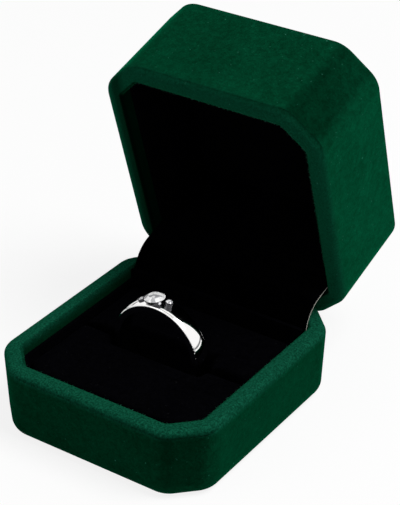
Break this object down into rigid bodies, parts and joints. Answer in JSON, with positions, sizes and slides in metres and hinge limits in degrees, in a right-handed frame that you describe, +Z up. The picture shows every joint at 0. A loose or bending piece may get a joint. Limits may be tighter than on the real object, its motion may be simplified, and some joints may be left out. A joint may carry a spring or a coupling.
{
  "type": "ring box",
  "caption": "Velvet covered ring box with cut corners, hinged lid standing open, and a stone-set ring held upright in a slotted pad.",
  "frame": {"origin": "centre of the face that the base rests on", "axes": "+Z up, +Y to the back where the hinge is, +X to the right as seen from the front; the lid is at its open stop"},
  "size_m": [0.05, 0.0767, 0.0706],
  "materials": {
    "green_velvet": "deep green cotton velvet, short dense pile, soft nap",
    "moulded_shell": "black injection moulded plastic",
    "foot_felt": "black-green pressed felt",
    "black_lining": "black flocked board",
    "pad_velvet": "black velvet, short pile",
    "pad_foam": "charcoal open cell foam",
    "hinge_steel": "nickel plated sheet steel",
    "pin_steel": "drawn steel wire, plated",
    "spring_steel": "blued spring steel strip",
    "rivet_metal": "brass, brushed",
    "cover_card": "pale card, cut edge showing",
    "silver": "polished silver",
    "clear_stone": "clear faceted stone"
  },
  "bodies": {
    "base": {"base_shell": "moulded_shell", "base_velvet": "green_velvet", "bottom_felt": "foot_felt", "base_lining": "black_lining", "pad_foam_front": "pad_foam", "pad_cover_front": "pad_velvet", "pad_foam_back": "pad_foam", "pad_cover_back": "pad_velvet", "hinge_base_leaf": "hinge_steel", "hinge_pin": "pin_steel", "snap_spring": "spring_steel", "base_rivets": "rivet_metal"},
    "lid": {"lid_shell": "moulded_shell", "lid_velvet": "green_velvet", "lid_lining": "black_lining", "lid_pad_foam": "pad_foam", "lid_pad_cover": "pad_velvet", "hinge_lid_leaf": "hinge_steel", "lid_rivets": "rivet_metal", "hinge_cover_card": "cover_card", "hinge_cover_velvet": "pad_velvet"},
    "ring": {"ring_band": "silver", "stone_settings": "silver", "middle_stone": "clear_stone", "side_stones": "clear_stone"}
  },
  "joints": [
    {"name": "lid_hinge", "type": "hinge", "parent": "base", "child": "lid", "pos_m": [0, 0.02505, 0.01365], "axis": [-1, 0, 0], "range_deg": [-73.2, 0]},
    {"name": "ring_lift", "type": "slide", "parent": "base", "child": "ring", "axis": [0, 0, 1], "range_m": [0, 0.038]}
  ]
}
